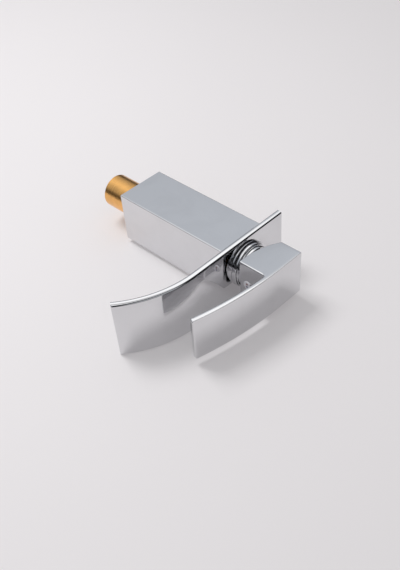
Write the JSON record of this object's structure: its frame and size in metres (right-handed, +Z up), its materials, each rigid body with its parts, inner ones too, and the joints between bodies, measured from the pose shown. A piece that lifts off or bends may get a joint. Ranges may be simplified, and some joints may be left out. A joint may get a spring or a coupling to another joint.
{
  "type": "waterfall basin faucet",
  "caption": "Single-lever deck-mounted basin mixer tap with a square column, a thin curved waterfall spout plate and a blade lever.",
  "frame": {"origin": "on the column's axis in the plane of the deck, where the base gasket's sole rests", "axes": "+Z up the column, -Y towards the spout's lip and the user, +X to the user's right (cold side)"},
  "size_m": [0.052, 0.1586, 0.1942],
  "materials": {
    "chrome": "mirror-polished chrome plate on brass",
    "brass": "bare turned brass",
    "black_rubber": "matt rubber",
    "grey_moulding": "moulded acetal",
    "white_moulding": "moulded acetal",
    "ceramic": "lapped alumina ceramic",
    "steel": "plain stainless steel",
    "white_cap": "gloss moulded cap",
    "hot_red": "gloss red inlay",
    "cold_blue": "gloss blue inlay"
  },
  "bodies": {
    "tap_body": {"column_body": "chrome", "base_gasket": "black_rubber", "shank": "brass", "spout_gasket": "black_rubber", "spout_tray": "chrome", "spout_cover": "chrome", "bonnet": "chrome", "bonnet_seal": "black_rubber", "cartridge_nut": "brass", "cartridge_housing": "grey_moulding", "cartridge_base": "grey_moulding", "port_seals": "black_rubber", "disc_seals": "black_rubber", "fixed_disc": "ceramic"},
    "swivel": {"stem_carrier": "grey_moulding", "pivot_pin": "steel"},
    "lever": {"stem": "brass", "handle": "chrome", "grub_screw": "steel", "index_button": "white_cap", "hot_inlay": "hot_red", "cold_inlay": "cold_blue"},
    "slider": {"moving_disc": "ceramic", "disc_slider": "white_moulding"}
  },
  "joints": [
    {"name": "temperature_swivel", "type": "hinge", "parent": "tap_body", "child": "swivel", "pos_m": [0, 0, 0.116], "axis": [0, 0, 1], "range_deg": [-45, 45]},
    {"name": "flow_lift", "type": "hinge", "parent": "swivel", "child": "lever", "pos_m": [0, 0, 0.116], "axis": [-1, 0, 0], "range_deg": [0, 22]},
    {"name": "disc_slide", "type": "slide", "parent": "swivel", "child": "slider", "axis": [0, -1, 0], "range_m": [0, 0.0031]}
  ],
  "couplings": [
    {"joint": "disc_slide", "follows": "flow_lift", "m_per_rad": 0.00794}
  ]
}
